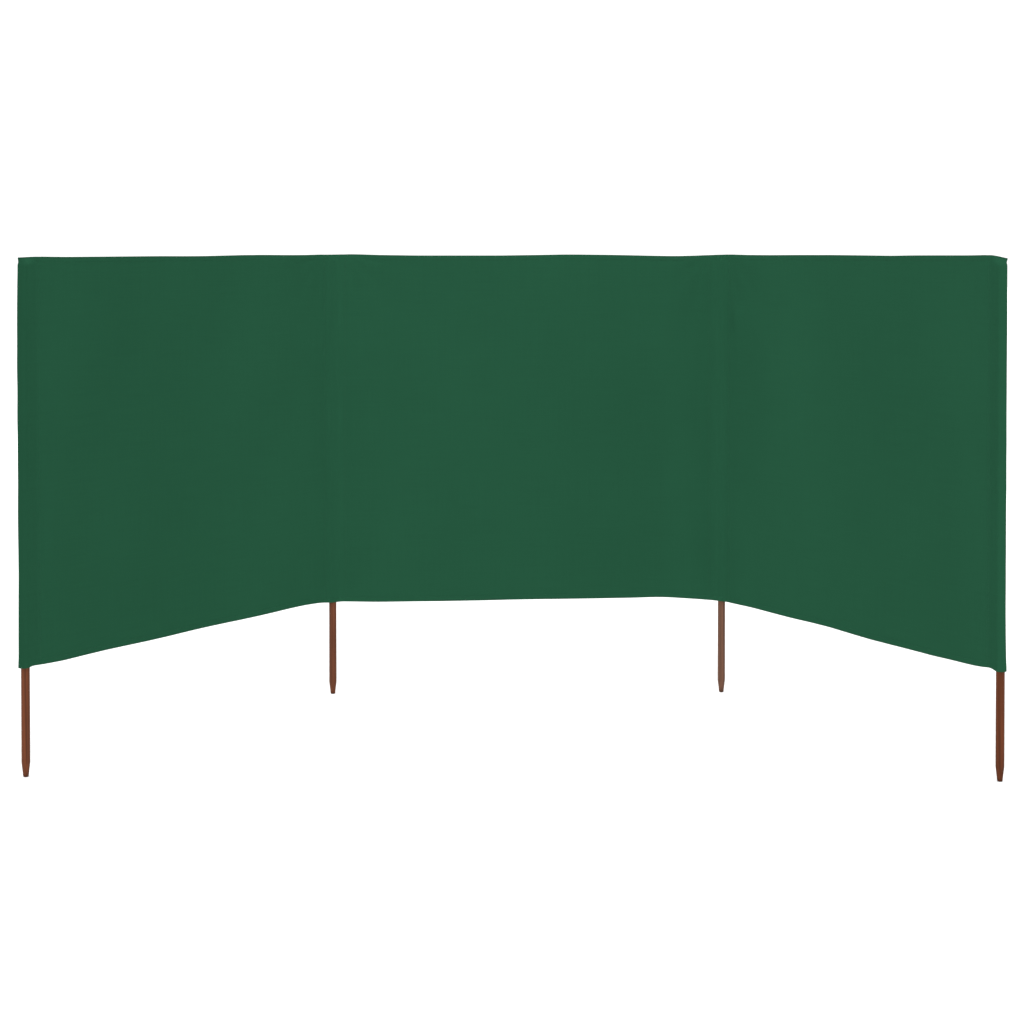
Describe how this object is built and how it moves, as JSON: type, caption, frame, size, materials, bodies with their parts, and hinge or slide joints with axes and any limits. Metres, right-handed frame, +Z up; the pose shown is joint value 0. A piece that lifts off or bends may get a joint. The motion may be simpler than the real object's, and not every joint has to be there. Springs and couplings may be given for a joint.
{
  "type": "beach windbreak",
  "caption": "Free-standing cloth windbreak in bays: plain green cloth with sewn pockets on round wooden stakes with tapered feet, outer bays swing round the inner stakes.",
  "frame": {"origin": "middle of the flat foot of the inner left stake", "axes": "+Z up along the stakes, +X along the middle bay from the inner left to the inner right stake, front of the screen towards -Y"},
  "size_m": [2.8403, 1.1926, 1.503],
  "materials": {
    "stained_wood": "brown-stained round wood, satin",
    "cloth": "dark green closely woven matte cloth",
    "cloth_hem": "the same cloth turned over and stitched"
  },
  "bodies": {
    "middle_bay": {"inner_left_pole": "stained_wood", "inner_right_pole": "stained_wood", "middle_panel": "cloth", "middle_top_hem": "cloth_hem", "middle_bottom_hem": "cloth_hem", "inner_left_pocket": "cloth", "inner_right_pocket": "cloth", "inner_left_pocket_top": "cloth_hem", "inner_right_pocket_top": "cloth_hem"},
    "left_bay": {"left_end_pole": "stained_wood", "left_panel": "cloth", "left_top_hem": "cloth_hem", "left_bottom_hem": "cloth_hem", "left_end_pocket": "cloth", "left_end_pocket_top": "cloth_hem"},
    "right_bay": {"right_end_pole": "stained_wood", "right_panel": "cloth", "right_top_hem": "cloth_hem", "right_bottom_hem": "cloth_hem", "right_end_pocket": "cloth", "right_end_pocket_top": "cloth_hem"}
  },
  "joints": [
    {"name": "left_bay_fold", "type": "hinge", "parent": "middle_bay", "child": "left_bay", "pos_m": [0, 0, 0.9], "axis": [0, 0, 1], "range_deg": [-170.4, 65.6]},
    {"name": "right_bay_fold", "type": "hinge", "parent": "middle_bay", "child": "right_bay", "pos_m": [1.333, 0, 0.9], "axis": [0, 0, -1], "range_deg": [-178.4, 57.6]}
  ]
}
